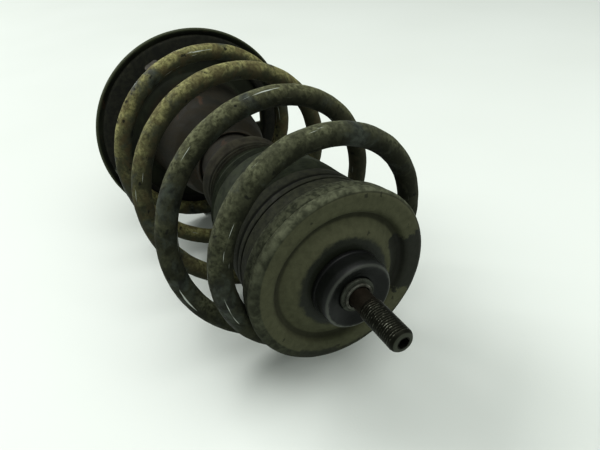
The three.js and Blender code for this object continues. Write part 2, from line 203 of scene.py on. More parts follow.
def turned(name, outline, facets=112, solid=False):
    """Pulls a ring from point to point of the outline. A solid one is capped at both ends."""
    deselect()
    radius, station = outline[0]
    bpy.ops.mesh.primitive_circle_add(vertices=facets, radius=radius * MM, enter_editmode=True,
                                      location=(along(station), 0, AXIS_HEIGHT),
                                      rotation=(0, math.pi / 2, 0))
    if solid:
        bpy.ops.mesh.edge_face_add()
        bpy.ops.mesh.select_all(action="SELECT")
    path = outline[1:] if solid else outline[1:] + outline[:1]
    for next_radius, next_station in path:
        move = {"value": ((next_station - station) * MM, 0, 0)}
        if solid:
            bpy.ops.mesh.extrude_region_move(TRANSFORM_OT_translate=move)
        else:
            bpy.ops.mesh.extrude_edges_move(TRANSFORM_OT_translate=move)
        grow = next_radius / radius
        bpy.ops.transform.resize(value=(1, grow, grow),
                                 center_override=(along(next_station), 0, AXIS_HEIGHT))
        radius, station = next_radius, next_station
    bpy.ops.mesh.select_all(action="SELECT")
    bpy.ops.mesh.remove_doubles(threshold=1e-6)
    bpy.ops.mesh.normals_make_consistent(inside=False)
    return settle(bpy.context.object, name)


print("a rounded square has", len(rounded([(1, 0), (2, 0), (2, 1), (1, 1)], 0.2)), "points")

# %% [markdown]
# Holes and slots are punched: a cutter is placed where the punch goes and taken away with a
# Boolean. Dents, dirt and the soft unevenness of rubber come from a Displace modifier fed by
# Blender's own cloud noise, which is the same on every run.

# %% Cutting and weathering
def punch(piece, *cutters):
    for cutter in cutters:
        apply_modifier(piece, "BOOLEAN", object=cutter, operation="DIFFERENCE", solver="EXACT")
        bpy.data.objects.remove(cutter)
    return piece


def block(name, station, radius, degrees, size, corner):
    """A cutter with rounded upright edges, its size along the damper, outwards and around."""
    deselect()
    bpy.ops.mesh.primitive_cube_add(size=1, enter_editmode=True)
    bpy.ops.transform.resize(value=[v * MM for v in size])
    bpy.ops.mesh.select_all(action="DESELECT")
    mesh = bpy.context.object.data
    bpy.ops.object.mode_set(mode="OBJECT")
    for edge in mesh.edges:
        a, b = (mesh.vertices[v].co for v in edge.vertices)
        edge.select = abs(a.x - b.x) > 1e-6
    bpy.ops.object.mode_set(mode="EDIT")
    bpy.ops.mesh.select_mode(type="EDGE")
    bpy.ops.mesh.bevel(offset=corner * MM, segments=6)
    bpy.ops.mesh.select_mode(type="VERT")
    bpy.ops.object.mode_set(mode="OBJECT")
    piece = bpy.context.object
    piece.matrix_world = (Matrix.Translation(on_damper(station, radius, degrees))
                          @ Matrix.Rotation(math.radians(degrees), 4, "X"))
    return settle(piece, name)


def weather(piece, depth, grain, offset=0.5):
    """Pushes the surface in and out by up to half the depth, in lumps of the grain's size."""
    clouds = bpy.data.textures.new("lumps_" + piece.name, "CLOUDS")
    clouds.noise_scale = grain * MM
    clouds.noise_depth = 2
    return apply_modifier(piece, "DISPLACE", texture=clouds, strength=depth * MM,
                          mid_level=offset, texture_coords="LOCAL")


print("punch, block and weather ready")

# %% [markdown]
# ## The coil spring
#
# The spring is one 14 mm wire: flat on the lower seat for a third of a turn, wound at an even
# 69 mm pitch, then tighter and smaller where it tucks into the upper pad. A Screw modifier can't
# change its pitch or its radius on the way, so the wire is swept as a curve along a line worked
# out from those facts, and turned into a mesh. Its rings then know how far along the wire they
# are, which lets scratches run with the wire.

# %% The wire's line
WIRE_RADIUS = 7.0
SPRING_RADIUS = 80.0
SPRING_START, PAD_LEAVE, TAPER_START, SPRING_END = -150, -30, 1010, 1330  # degrees of winding
SPRING_PITCH, TOP_PITCH = 69.2, 34.2
SPRING_PHASE = -20.2
LEAVE_STATION, SEATED_DROP = -258.0, 3.6
WIRE_RINGS, WIRE_SIDES = 820, 28
PAD_GROOVE = WIRE_RADIUS + 0.45  # the pads' grooves are a little wider than the wire
NOSE_START, NOSE_DROP = 1200, 28  # the last turn draws in to the upper pad
DRAW_IN_FROM, DRAW_IN_TO, DRAW_IN = 930, 1085, 4


def spring_station(angle):
    if angle < PAD_LEAVE:
        part = (angle - SPRING_START) / (PAD_LEAVE - SPRING_START)
        return LEAVE_STATION - SEATED_DROP * (1 - part ** 3)
    even = min(angle, TAPER_START) - PAD_LEAVE
    tapered = max(angle - TAPER_START, 0)
    pitch_fall = (SPRING_PITCH - TOP_PITCH) / (SPRING_END - TAPER_START)
    rise = SPRING_PITCH * (even + tapered) - pitch_fall * tapered ** 2 / 2
    return LEAVE_STATION + rise / 360


def smoothstep(value, low, high):
    t = min(max((value - low) / (high - low), 0), 1)
    return t * t * (3 - 2 * t)


def spring_radius(angle):
    tail = min(max((angle - NOSE_START) / (SPRING_END - NOSE_START), 0), 1)
    return (SPRING_RADIUS - DRAW_IN * smoothstep(angle, DRAW_IN_FROM, DRAW_IN_TO)
            - NOSE_DROP * tail * (0.4 + 0.6 * tail))


print("the wire's line ends at station %.1f, radius %.1f"
      % (spring_station(SPRING_END), spring_radius(SPRING_END)))

# %% Sweep the wire
def sweep_wire(name, radius, rings, sides):
    deselect()
    bpy.ops.curve.primitive_nurbs_path_add(radius=MM)
    curve = bpy.context.object.data
    curve.splines.clear()
    line = curve.splines.new("POLY")
    line.points.add(rings - 1)
    for i, point in enumerate(line.points):
        angle = SPRING_START + (SPRING_END - SPRING_START) * i / (rings - 1)
        place = on_damper(spring_station(angle), spring_radius(angle), angle + SPRING_PHASE)
        point.co = (*place, 1)
    curve.dimensions = "3D"
    curve.bevel_depth = radius * MM
    curve.bevel_resolution = sides // 2 - 2
    curve.use_fill_caps = True
    bpy.ops.object.convert(target="MESH")
    bpy.ops.object.mode_set(mode="EDIT")
    bpy.ops.mesh.select_all(action="SELECT")
    bpy.ops.mesh.remove_doubles(threshold=1e-6)
    bpy.ops.mesh.normals_make_consistent(inside=False)
    return settle(bpy.context.object, name)


spring = sweep_wire("spring_wire", WIRE_RADIUS - 0.15, WIRE_RINGS, WIRE_SIDES)
ring_size = len(spring.data.vertices) // WIRE_RINGS
along_wire = spring.data.attributes.new("along_wire", "FLOAT_VECTOR", "POINT")
WIRE_LENGTH = 2 * math.pi * SPRING_RADIUS * MM * (SPRING_END - SPRING_START) / 360
for i in range(len(spring.data.vertices)):
    turn = 2 * math.pi * (i % ring_size) / ring_size
    step = min(i // ring_size, WIRE_RINGS - 1) / (WIRE_RINGS - 1)
    along_wire.data[i].vector = (step * WIRE_LENGTH, WIRE_RADIUS * MM * math.cos(turn),
                                 WIRE_RADIUS * MM * math.sin(turn))
weather(spring, 0.55, 9)
smooth(spring, 50)
print("rings of", ring_size, "vertices, %.2f m of wire" % WIRE_LENGTH)

# %% [markdown]
# ## The spring head
#
# The upper seat is a pressed cap: a raised outer ring, a step down, and a dome that rises to
# the bearing. Behind it a rubber pad bulges out and holds the last turn in a groove, which is cut
# with a slightly fatter copy of the wire, so the coil really lies in it. A collar clamps the boot.

# %% Upper seat
upper_seat = turned("upper_seat_cap", divided(rounded([
    (12.2, 2.0), (25, 2.0), (31, 0.4), (36, -2.6), (39.6, -4.0), (41.6, -3.3), (43.2, -0.6),
    (45, 0), (53.4, 0), (55.2, -0.9), (56.2, -2.3), (56.5, -3.6), (56.2, -6.2),
    (54.1, -6.2), (53.8, -3.6), (51, -2.6), (47, -2.6),
    (46, -5.0), (42, -6.6), (36, -5.4), (30, -2.2), (25, -0.6), (12.2, -0.6)], 1.1), 2.2), 160)
weather(upper_seat, 0.35, 14)
smooth(upper_seat)

# %% Upper pad and its spring groove
upper_pad = turned("upper_pad_rubber", divided(rounded([
    (38, -7.4), (46.5, -7.2), (53.4, -6.7), (55.5, -7.4), (55.7, -11), (55.0, -15),
    (53.4, -17.8), (50.6, -19.0), (49.3, -20.6), (49.0, -26), (49.0, -33), (38, -33)],
    1.3), 2.0), 144)
groove = sweep_wire("groove", PAD_GROOVE, 260, 20)
punch(upper_pad, groove)
smooth(upper_pad, 45)

# %% Boot collar
boot_collar = turned("boot_collar_ring", divided(rounded([
    (42.2, -33.4), (49.1, -33.4), (49.0, -37.6), (47.4, -38.6), (46.9, -40.4), (48.2, -41.4),
    (48.4, -44), (48.0, -49.8), (45.2, -49.8), (45, -41), (42.2, -39)], 0.6, 3), 2.5), 128)
weather(boot_collar, 0.25, 8)
smooth(boot_collar)

# %% [markdown]
# ## The dust boot
#
# A moulded gaiter with fine ribs near both ends, a plain middle, and a cuff that grips the tube.
# The ribs are part of the outline: a wave is added to the wall where the boot is ribbed. The
# fold height stays below two millimetres, as on the real thing, because these ribs only let the
# rubber bend; the whole boot folds up when the strut closes.

# %% Boot
BOOT_TOP, BOOT_BOTTOM, BOOT_WALL = -50.2, -147.0, 1.5
CUFF_RADIUS = 26.4
NEAR_RIB, FAR_RIB = 3.6, 4.3  # from rib to rib, behind the collar and towards the tube


def boot_radius(station):
    return (47.6 - 3.4 * smoothstep(-station, 55, 105) - 10.2 * smoothstep(-station, 98, 127)
            + 1.4 * smoothstep(-station, 138, 145))


def rib(station):
    """How far the wall lies below its crests at a station."""
    near = 1 - smoothstep(-station, 66, 72)
    far = smoothstep(-station, 94, 99) * (1 - smoothstep(-station, 134, 138))
    wave_near = 0.5 + 0.5 * math.cos(2 * math.pi * (station - BOOT_TOP) / NEAR_RIB)
    wave_far = 0.5 + 0.5 * math.cos(2 * math.pi * station / FAR_RIB)
    return -1.5 * near * (1 - wave_near ** 1.4) - 1.9 * far * (1 - wave_far ** 1.4)


boot_outside = []
station = BOOT_TOP
while station > BOOT_BOTTOM + 0.5:
    boot_outside.append((boot_radius(station) + rib(station) - 0.2, station))
    station -= 0.6
boot_inside = [(boot_radius(s) - 2.4 - BOOT_WALL, s)
               for s in (BOOT_BOTTOM + 2.2, -134, -127, -119, -108, -98, -75, BOOT_TOP)]
boot = turned("dust_boot_rubber", boot_outside + [
    (boot_radius(BOOT_BOTTOM) - 0.7, BOOT_BOTTOM), (CUFF_RADIUS, BOOT_BOTTOM),
    (CUFF_RADIUS, BOOT_BOTTOM + 6), (CUFF_RADIUS + 2, BOOT_BOTTOM + 6),
    (CUFF_RADIUS + 2, BOOT_BOTTOM + 2.2)] + boot_inside, 128)
weather(boot, 0.9, 30)
smooth(boot, 60)

# %% [markdown]
# ## Bush, washer and lock ring
#
# The black bush caps the bearing. Its face is a shallow saucer and its rim is worn round, so its
# outline gets the largest rounding here. The grey washer in the saucer is the flange of the
# steel sleeve, and a split ring lies on it. The split is punched, as the real ring is cut.

# %% Bush
top_bush = turned("top_bush_moulding", divided(rounded([
    (10, 10), (18.1, 10), (18.1, 2.6), (22, 2.6), (22, 4.8), (21.6, 5.6), (21.6, 12.6),
    (20.9, 15.0), (19.8, 16.3), (18.6, 16.2), (17.2, 15.4), (14.8, 14.1), (12.6, 13.1),
    (10, 12.8)], 1.4), 1.2), 128)
weather(top_bush, 0.16, 7)
smooth(top_bush, 45)

# %% Sleeve washer and split ring
bush_sleeve = turned("sleeve_washer", rounded([
    (6.8, 2), (9.6, 2), (9.6, 13.2), (10.5, 13.2), (10.5, 14.4), (10.1, 14.8), (6.8, 14.8)],
    0.3, 3), 96)
smooth(bush_sleeve)
lock_ring = turned("split_ring", rounded([
    (6.8, 15.1), (8.4, 15.1), (8.4, 15.8), (8.1, 16.3), (6.8, 16.3)], 0.3, 3), 96)
punch(lock_ring, block("ring_split", 15.7, 8, 40, (6, 4, 1.2), 0.3))
smooth(lock_ring)

# %% [markdown]
# ## The piston rod and its thread
#
# The rod is one turned bar: a piston seat at one end, the 22 mm shaft, and the M14 stud. A thread
# is a groove that climbs one pitch a turn. The stud is given a ring of vertices every sixth of a
# pitch, and the vertices on the same part of the groove are found by their place: how far along
# they are, plus their turn as a share of the pitch. Each such set is then drawn in towards the
# axis by one resize. The hexagon socket is punched last.

# %% Rod blank
STUD_RADIUS = 7.0
THREAD_PITCH = 1.5
THREAD_STEPS = 6
THREAD_FROM, THREAD_TO = 27.5, 53.0
THREAD_FACETS = 96
ring_gap = THREAD_PITCH / THREAD_STEPS
threaded_rings = [(STUD_RADIUS - 0.02, THREAD_FROM + i * ring_gap)
                  for i in range(int((THREAD_TO - THREAD_FROM) / ring_gap))]
ROD_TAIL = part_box("piston_rod")[0].x / MM - SHIFT
rod = turned("rod_and_stud", [
    (4.4, ROD_TAIL), (5, ROD_TAIL + 0.6), (5, ROD_TAIL + 22), (10.4, ROD_TAIL + 22.2),
    (11, ROD_TAIL + 22.8), (11, 0.8), (10.3, 1.6), (6.7, 1.7), (6.2, 14), (6.1, 26.2),
    (6.7, 27.1), *threaded_rings, (6.6, 53.4), (6.1, 54.2), (5.4, 54.9), (5.1, STUD_TIP)],
    THREAD_FACETS, solid=True)
report(rod)

# %% Cut the thread
GROOVE = {0: 1.0, 1: 0.99, 2: 0.968, 3: 0.952, 4: 0.968, 5: 0.99}  # radius kept, by step
mesh = rod.data
bpy.ops.object.mode_set(mode="EDIT")
bpy.ops.mesh.select_mode(type="VERT")
for step, kept in GROOVE.items():
    if kept == 1.0:
        continue
    bpy.ops.mesh.select_all(action="DESELECT")
    bpy.ops.object.mode_set(mode="OBJECT")
    for vertex in mesh.vertices:
        station = vertex.co.x / MM - SHIFT
        if THREAD_FROM - 0.1 < station < THREAD_TO - 0.1:
            turn = math.atan2(vertex.co.z - AXIS_HEIGHT, vertex.co.y) / (2 * math.pi)
            phase = ((station - THREAD_FROM) / THREAD_PITCH + turn) * THREAD_STEPS
            vertex.select = round(phase) % THREAD_STEPS == step
    bpy.ops.object.mode_set(mode="EDIT")
    bpy.ops.transform.resize(value=(1, kept, kept), center_override=(0, 0, AXIS_HEIGHT))
bpy.ops.object.mode_set(mode="OBJECT")

deselect()
bpy.ops.mesh.primitive_cylinder_add(vertices=6, radius=3.4 * MM, depth=16 * MM,
                                    location=(along(STUD_TIP), 0, AXIS_HEIGHT),
                                    rotation=(0, math.pi / 2, 0))
socket = settle(bpy.context.object, "socket_punch")
punch(rod, socket)
smooth(rod, 32)

# %% [markdown]
# ## The lower seat
#
# A pressed dish carries the spring. Its edge is rolled into a thin lip, and a tall cone narrows
# from the dish to a neck that grips the tube. The press also cuts a wide notch on the wheel side,
# a square drain hole and a slot. The dish is turned first and punched afterwards, which is the
# order in the press too.

# %% Lower seat
LIP = -267.6
FLOOR = LIP - 4.6
STEEL = 2.6
WHEEL_SIDE = 248
lower_seat = turned("lower_seat_dish", divided(rounded([
    (26.3, -178), (28.7, -177), (29.3, -182), (36, -190), (41, -205), (46, -240), (49, -262),
    (54, FLOOR), (88, FLOOR), (91, LIP - 1), (92.4, LIP), (93.4, LIP - 1.4), (93.4, LIP - 3.6),
    (91, FLOOR - STEEL), (52, FLOOR - STEEL), (46.6, -264), (43.5, -241), (38.5, -207),
    (33.5, -192.5), (26.3, -186)], 1.5), 5), 160)
NOTCH_DEPTH = 12.5
punch(lower_seat,
      block("tyre_notch", FLOOR, 94 + NOTCH_DEPTH, WHEEL_SIDE, (40, NOTCH_DEPTH * 4, 48), 6),
      block("drain_hole", FLOOR, 61.5, -2.5, (24, 11, 12), 1.2),
      block("locating_slot", FLOOR, 74, 114, (24, 6, 13), 2.5))
smooth(lower_seat, 35)

# %% Lower pad
lower_pad = turned("lower_pad_rubber", rounded([
    (70, FLOOR + 0.3), (87.4, FLOOR + 0.3), (87.4, FLOOR + 2.4), (86, FLOOR + 3.2),
    (72, FLOOR + 3.2), (70, FLOOR + 2.4)], 0.8), 144)
punch(lower_pad, sweep_wire("pad_groove", PAD_GROOVE, 260, 20),
      block("pad_slot", FLOOR, 74, 114, (24, 6, 13), 2.5))
smooth(lower_pad, 40)

# %% [markdown]
# ## Tube, base and knuckle bracket
#
# The tube is plain drawn steel, closed by a pressed base. The bracket is a strap of 4 mm plate
# bent round the tube, with two ears that clamp the wheel knuckle. It is made the way a
# sheet-metal worker thinks of it: the middle line of the strap is drawn, pulled to its width,
# given its thickness by Solidify, and drilled.

# %% Tube and base
TUBE_TOP, TUBE_BOTTOM = -140, -470
outer_tube = turned("damper_tube", divided(rounded([
    (23.6, TUBE_BOTTOM + 6), (26, TUBE_BOTTOM + 6), (26, TUBE_TOP), (23.6, TUBE_TOP)], 0.5, 3), 8),
    96)
weather(outer_tube, 0.2, 26)
smooth(outer_tube)
tube_base = turned("pressed_base", [
    (6, TUBE_BOTTOM), (17.4, TUBE_BOTTOM), (18.8, TUBE_BOTTOM + 0.4), (23.6, TUBE_BOTTOM + 2.3),
    (25.2, TUBE_BOTTOM + 3.6), (25.9, TUBE_BOTTOM + 5.0), (25.7, TUBE_BOTTOM + 5.6),
    (23.3, TUBE_BOTTOM + 5.7), (23.3, TUBE_BOTTOM + 9)], 96, solid=True)
smooth(tube_base)

# %% Bracket
BRACKET_FROM, BRACKET_TO = -462, -372
PLATE = 4.0
EAR_REACH, EAR_MIDDLE = 74, 16
BOLT_OFFSET, BOLT_HOLE, BOLT_INSET = 55, 6.2, 18
strap_radius = 26.3 + PLATE / 2  # the plate's middle, just clear of the tube
deselect()
bpy.ops.mesh.primitive_circle_add(vertices=120, radius=strap_radius * MM, enter_editmode=True,
                                  location=(along(BRACKET_FROM), 0, AXIS_HEIGHT),
                                  rotation=(0, math.pi / 2, 0))
bpy.ops.object.mode_set(mode="OBJECT")
strap = settle(bpy.context.object, "knuckle_bracket_plate")
ear_start = math.asin(EAR_MIDDLE / strap_radius)
for vertex in strap.data.vertices:
    turn = math.atan2(vertex.co.z - AXIS_HEIGHT, vertex.co.y)
    vertex.select = abs(turn) < ear_start
for edge in strap.data.edges:
    edge.select = False
bpy.ops.object.mode_set(mode="EDIT")
bpy.ops.mesh.select_mode(type="VERT")
bpy.ops.mesh.delete(type="VERT")
for side in (1, -1):
    bpy.ops.mesh.select_all(action="DESELECT")
    bpy.ops.object.mode_set(mode="OBJECT")
    ends = [v for v in strap.data.vertices if v.co.y > 0 and (v.co.z - AXIS_HEIGHT) * side > 0]
    end = min(ends, key=lambda v: abs(v.co.z - AXIS_HEIGHT - side * EAR_MIDDLE * MM))
    end.select = True
    reach = Vector((0, EAR_REACH * MM - end.co.y, AXIS_HEIGHT + side * EAR_MIDDLE * MM - end.co.z))
    bpy.ops.object.mode_set(mode="EDIT")
    bpy.ops.mesh.extrude_vertices_move(TRANSFORM_OT_translate={"value": reach})
bpy.ops.mesh.select_all(action="SELECT")
bpy.ops.mesh.extrude_edges_move(
    TRANSFORM_OT_translate={"value": ((BRACKET_TO - BRACKET_FROM) * MM, 0, 0)})
bpy.ops.mesh.select_all(action="SELECT")
bpy.ops.mesh.normals_make_consistent(inside=False)
bpy.ops.transform.rotate(value=-math.radians(WHEEL_SIDE), orient_axis="X",
                         center_override=(0, 0, AXIS_HEIGHT))
bpy.ops.object.mode_set(mode="OBJECT")
apply_modifier(strap, "SOLIDIFY", thickness=PLATE * MM, offset=0, use_even_offset=True)
apply_modifier(strap, "BEVEL", width=0.7 * MM, segments=3, limit_method="ANGLE")
drills = []
for station in (BRACKET_FROM + BOLT_INSET, BRACKET_TO - BOLT_INSET):
    deselect()
    bpy.ops.mesh.primitive_cylinder_add(vertices=48, radius=BOLT_HOLE * MM, depth=80 * MM,
                                        location=on_damper(station, BOLT_OFFSET, WHEEL_SIDE),
                                        rotation=(math.radians(WHEEL_SIDE), 0, 0))
    drills.append(settle(bpy.context.object, "drill"))
punch(strap, *drills)
smooth(strap, 35)

# %% [markdown]
# ## Bench and light
#
# The strut lies on a plain pale bench under soft daylight from behind and to the left, so the
# tops of the coils catch the light while the faces turned to the camera stay dim. One broad
# light makes that. A weaker one over the near end lifts the shadows there, and a pale world
# fills the rest.
# The Standard view keeps the pale bench pale and the dark rubber dark.

# %% Bench, lamps and world
def lamp(name, place, size, power):
    """A square soft light aimed at the middle of the strut."""
    deselect()
    bpy.ops.object.light_add(type="AREA", location=place)
    made = bpy.context.object
    made.name = name
    made.data.shape = "SQUARE"
    made.data.size = size
    made.data.energy = power
    aim = Vector((0.08, 0, AXIS_HEIGHT)) - Vector(place)
    made.rotation_euler = aim.to_track_quat("-Z", "Y").to_euler()
    return made


WINDOW_POWER, OVERHEAD_POWER, WORLD_LEVEL = 118.0, 20.0, 0.42
lamp("window_light", (-2.3, -1.5, 2.85), 2.3, WINDOW_POWER)
lamp("overhead_light", (0.75, 0.25, 1.7), 1.4, OVERHEAD_POWER)
world = bpy.data.worlds.new("room")
bpy.context.scene.world = world
world.use_nodes = True
world.node_tree.nodes["Background"].inputs["Color"].default_value = (0.95, 1.0, 0.96, 1)
world.node_tree.nodes["Background"].inputs["Strength"].default_value = WORLD_LEVEL
bpy.context.scene.view_settings.view_transform = "Standard"
bpy.context.scene.view_settings.look = "Medium High Contrast"
deselect()
bpy.ops.mesh.primitive_plane_add(size=8)
bench = bpy.context.object
bench.name = "bench"
print("lamps of", WINDOW_POWER, "and", OVERHEAD_POWER, "watts")

# %% [markdown]
# ## Material helpers
#
# A used part has one story in layers: a base finish, wear on its edges, dust and mud over both,
# and oil over everything near the rod. Each layer is a mask that mixes a colour, a roughness and
# a height. A mask that several materials share is built once, as a node group with named
# sockets, and each material gives it its own values. The Principled shader stays in the material.

# %% Node tools
def tint(red, green, blue):
    """A screen colour, 0 to 255, as the linear colour that a shader wants."""
    return tuple((v / 255 / 12.92) if v <= 10 else ((v / 255 + 0.055) / 1.055) ** 2.4
                 for v in (red, green, blue)) + (1.0,)


def node(tree, kind, sockets=None, **settings):
    """Adds a node; a socket's value is a number or colour, or another socket to be wired."""
    made = tree.nodes.new("ShaderNode" + kind)
    for key, value in settings.items():
        setattr(made, key, value)
    for key, value in (sockets or {}).items():
        if isinstance(value, bpy.types.NodeSocket):
            tree.links.new(value, made.inputs[key])
        else:
            made.inputs[key].default_value = value
    return made


def calc(tree, operation, a, b=0.0):
    return node(tree, "Math", {0: a, 1: b}, operation=operation).outputs[0]


def times(tree, a, b):
    return calc(tree, "MULTIPLY", a, b)


def rising(tree, value, low, high):
    """0 below low, 1 above high, and smooth between; low may be above high."""
    return node(tree, "MapRange", {"Value": value, "From Min": low, "From Max": high},
                interpolation_type="SMOOTHSTEP").outputs["Result"]


def band(tree, value, low, high, edge):
    return times(tree, rising(tree, value, low - edge, low + edge),
                rising(tree, value, high + edge, high - edge))


def mixed(tree, share, a, b):
    return node(tree, "Mix", {0: share, 6: a, 7: b}, data_type="RGBA").outputs[2]


def levels(tree, share, a, b):
    return node(tree, "Mix", {0: share, 2: a, 3: b}, data_type="FLOAT").outputs[0]


def noise(tree, vector, scale, detail=3.0, rough=0.55, distortion=0.0):
    return node(tree, "TexNoise", {"Vector": vector, "Scale": scale, "Detail": detail,
                                   "Roughness": rough, "Distortion": distortion}).outputs["Fac"]


def new_group(name, inputs, outputs):
    tree = bpy.data.node_groups.new(name, "ShaderNodeTree")
    for label, kind, value in inputs:
        socket = tree.interface.new_socket(label, in_out="INPUT", socket_type="NodeSocket" + kind)
        if value is not None:
            socket.default_value = value
    for label, kind in outputs:
        tree.interface.new_socket(label, in_out="OUTPUT", socket_type="NodeSocket" + kind)
    return tree, tree.nodes.new("NodeGroupInput").outputs, tree.nodes.new("NodeGroupOutput").inputs


def placed(tree, group, sockets=None):
    return node(tree, "Group", sockets, node_tree=group)


print("a mid grey of 118 is", round(tint(118, 118, 118)[0], 3), "in linear light")

# %% [markdown]
# The first group turns an object coordinate into the damper's own measures: station, radius and
# turn. Dust that sits in a ring, or a patch rubbed clean on one side, is then a band of those.

# %% Group: place on the damper
PLACE, into, out = new_group("place_on_damper", [], [
    ("Station", "Float"), ("Radius", "Float"), ("Turn", "Float"), ("Vector", "Vector")])
coords = node(PLACE, "TexCoord").outputs["Object"]
xyz = node(PLACE, "SeparateXYZ", {"Vector": coords}).outputs
height = calc(PLACE, "SUBTRACT", xyz["Z"], AXIS_HEIGHT)
station_mm = calc(PLACE, "SUBTRACT", calc(PLACE, "DIVIDE", xyz["X"], MM), SHIFT)
PLACE.links.new(station_mm, out["Station"])
across = calc(PLACE, "SQRT", calc(PLACE, "ADD", times(PLACE, xyz["Y"], xyz["Y"]),
                                  times(PLACE, height, height)))  # distance from the axis
PLACE.links.new(calc(PLACE, "DIVIDE", across, MM), out["Radius"])
radians = calc(PLACE, "ARCTAN2", height, xyz["Y"])
PLACE.links.new(times(PLACE, radians, 180 / math.pi), out["Turn"])
PLACE.links.new(coords, out["Vector"])
print("place_on_damper gives", [s.name for s in out if s.name])

# %% [markdown]
# Dried dirt has patches with ragged edges, a mottle inside them, and a grain you could feel.
# Dust settles on what faces up, which the surface's normal tells. The same mask also paints what
# faces up lighter and what faces down or sideways darker, as painted shade.
# Small flecks are cells of a Voronoi pattern, of which only a few are kept. Scratches are a
# noise stretched along one axis and cut to a thin line. Edges wear where the mesh is sharp,
# which Geometry's Pointiness tells.

# %% Groups: grime, flecks, scratches and worn edges
GRIME, into, out = new_group("grime", [
    ("Vector", "Vector", None), ("Scale", "Float", 40.0), ("Amount", "Float", 0.5),
    ("Edge", "Float", 0.05)], [("Mask", "Float"), ("Mottle", "Float"), ("Height", "Float")])
patches = noise(GRIME, into["Vector"], into["Scale"], 6, 0.62, 0.5)
turning = calc(GRIME, "SUBTRACT", 0.7, times(GRIME, into["Amount"], 0.4))
GRIME.links.new(rising(GRIME, patches, calc(GRIME, "SUBTRACT", turning, into["Edge"]),
                       calc(GRIME, "ADD", turning, into["Edge"])), out["Mask"])
mottle = noise(GRIME, into["Vector"], times(GRIME, into["Scale"], 4.3), 4, 0.6, 0.3)
fine = noise(GRIME, into["Vector"], times(GRIME, into["Scale"], 23.0), 3, 0.6)
GRIME.links.new(mottle, out["Mottle"])
GRIME.links.new(levels(GRIME, 0.35, mottle, fine), out["Height"])

FLECKS, into, out = new_group("flecks", [
    ("Vector", "Vector", None), ("Scale", "Float", 200.0), ("Size", "Float", 0.25),
    ("Amount", "Float", 0.1)], [("Mask", "Float")])
wobble = node(FLECKS, "TexNoise", {"Vector": into["Vector"], "Scale": 400.0}).outputs["Color"]
shaken = node(FLECKS, "Mix", {0: 0.004, 4: into["Vector"], 5: wobble},
              data_type="VECTOR").outputs[1]
cells = node(FLECKS, "TexVoronoi", {"Vector": shaken, "Scale": into["Scale"]})
chance = node(FLECKS, "SeparateXYZ", {"Vector": cells.outputs["Color"]}).outputs["X"]
kept_cells = calc(FLECKS, "LESS_THAN", chance, into["Amount"])
dot = rising(FLECKS, cells.outputs["Distance"], into["Size"], times(FLECKS, into["Size"], 0.6))
FLECKS.links.new(times(FLECKS, dot, kept_cells), out["Mask"])

SCRATCHES, into, out = new_group("scratches", [
    ("Vector", "Vector", None), ("Stretch", "Vector", (1, 1, 1)), ("Amount", "Float", 0.5)],
    [("Mask", "Float")])
pulled = node(SCRATCHES, "VectorMath", {0: into["Vector"], 1: into["Stretch"]},
              operation="MULTIPLY").outputs[0]
lines = noise(SCRATCHES, pulled, 1.0, 3, 0.6)
cut_at = calc(SCRATCHES, "SUBTRACT", 0.78, times(SCRATCHES, into["Amount"], 0.25))
SCRATCHES.links.new(rising(SCRATCHES, lines, cut_at, calc(SCRATCHES, "ADD", cut_at, 0.03)),
                    out["Mask"])

EDGES, into, out = new_group("worn_edges", [
    ("Vector", "Vector", None), ("Low", "Float", 0.515), ("High", "Float", 0.56)],
    [("Mask", "Float")])
sharp = node(EDGES, "NewGeometry").outputs["Pointiness"]
broken = calc(EDGES, "ADD", sharp, times(EDGES, calc(
    EDGES, "SUBTRACT", noise(EDGES, into["Vector"], 220.0, 4), 0.5), 0.06))
EDGES.links.new(rising(EDGES, broken, into["Low"], into["High"]), out["Mask"])

# A mask that is 1 on faces turned up: partly settled dust, partly painted light on tops and
# painted shade below.
DUST_AND_SHADE, into, out = new_group("settled_dust_and_shade", [
    ("Vector", "Vector", None), ("Low", "Float", -0.1), ("High", "Float", 0.8)],
    [("Mask", "Float")])
upward = node(DUST_AND_SHADE, "SeparateXYZ", {
    "Vector": node(DUST_AND_SHADE, "NewGeometry").outputs["Normal"]}).outputs["Z"]
drifted = calc(DUST_AND_SHADE, "ADD", upward, times(DUST_AND_SHADE, calc(
    DUST_AND_SHADE, "SUBTRACT", noise(DUST_AND_SHADE, into["Vector"], 60.0, 5, 0.65), 0.5), 1.6))
DUST_AND_SHADE.links.new(rising(DUST_AND_SHADE, drifted, into["Low"], into["High"]), out["Mask"])
print("groups:", [g.name for g in bpy.data.node_groups])

# %% Starting a finish
def finish(name, metallic=0.0, shine=0.2):
    """A new material; gives its tree, its Principled shader and the damper measures."""
    material = bpy.data.materials.new(name)
    material.use_nodes = True
    tree = material.node_tree
    shader = tree.nodes["Principled BSDF"]
    shader.inputs["Metallic"].default_value = metallic
    shader.inputs["Specular IOR Level"].default_value = shine
    return material, tree, shader, placed(tree, PLACE).outputs


def connect(tree, shader, colour, roughness, height=None, depth=0.3, strength=1.0):
    """Joins the layers to the shader; depth is the bump's height in millimetres."""
    tree.links.new(colour, shader.inputs["Base Color"])
    tree.links.new(roughness, shader.inputs["Roughness"])
    if height is not None:
        bump = node(tree, "Bump", {"Height": height, "Strength": strength,
                                   "Distance": depth * MM})
        tree.links.new(bump.outputs["Normal"], shader.inputs["Normal"])


def grime(tree, at, scale, amount, edge):
    return placed(tree, GRIME, {"Vector": at["Vector"], "Scale": scale, "Amount": amount,
                                "Edge": edge}).outputs


def flecks(tree, at, scale, size, amount):
    return placed(tree, FLECKS, {"Vector": at["Vector"], "Scale": scale, "Size": size,
                                 "Amount": amount}).outputs["Mask"]


def settled_dust_and_shade(tree, at, low=-0.1):
    return placed(tree, DUST_AND_SHADE, {"Vector": at["Vector"], "Low": low}).outputs["Mask"]


def give(piece, material):
    piece.data.materials.append(material)
    print(piece.name, "wears", material.name)


print("finish, connect and the dirt layers ready")

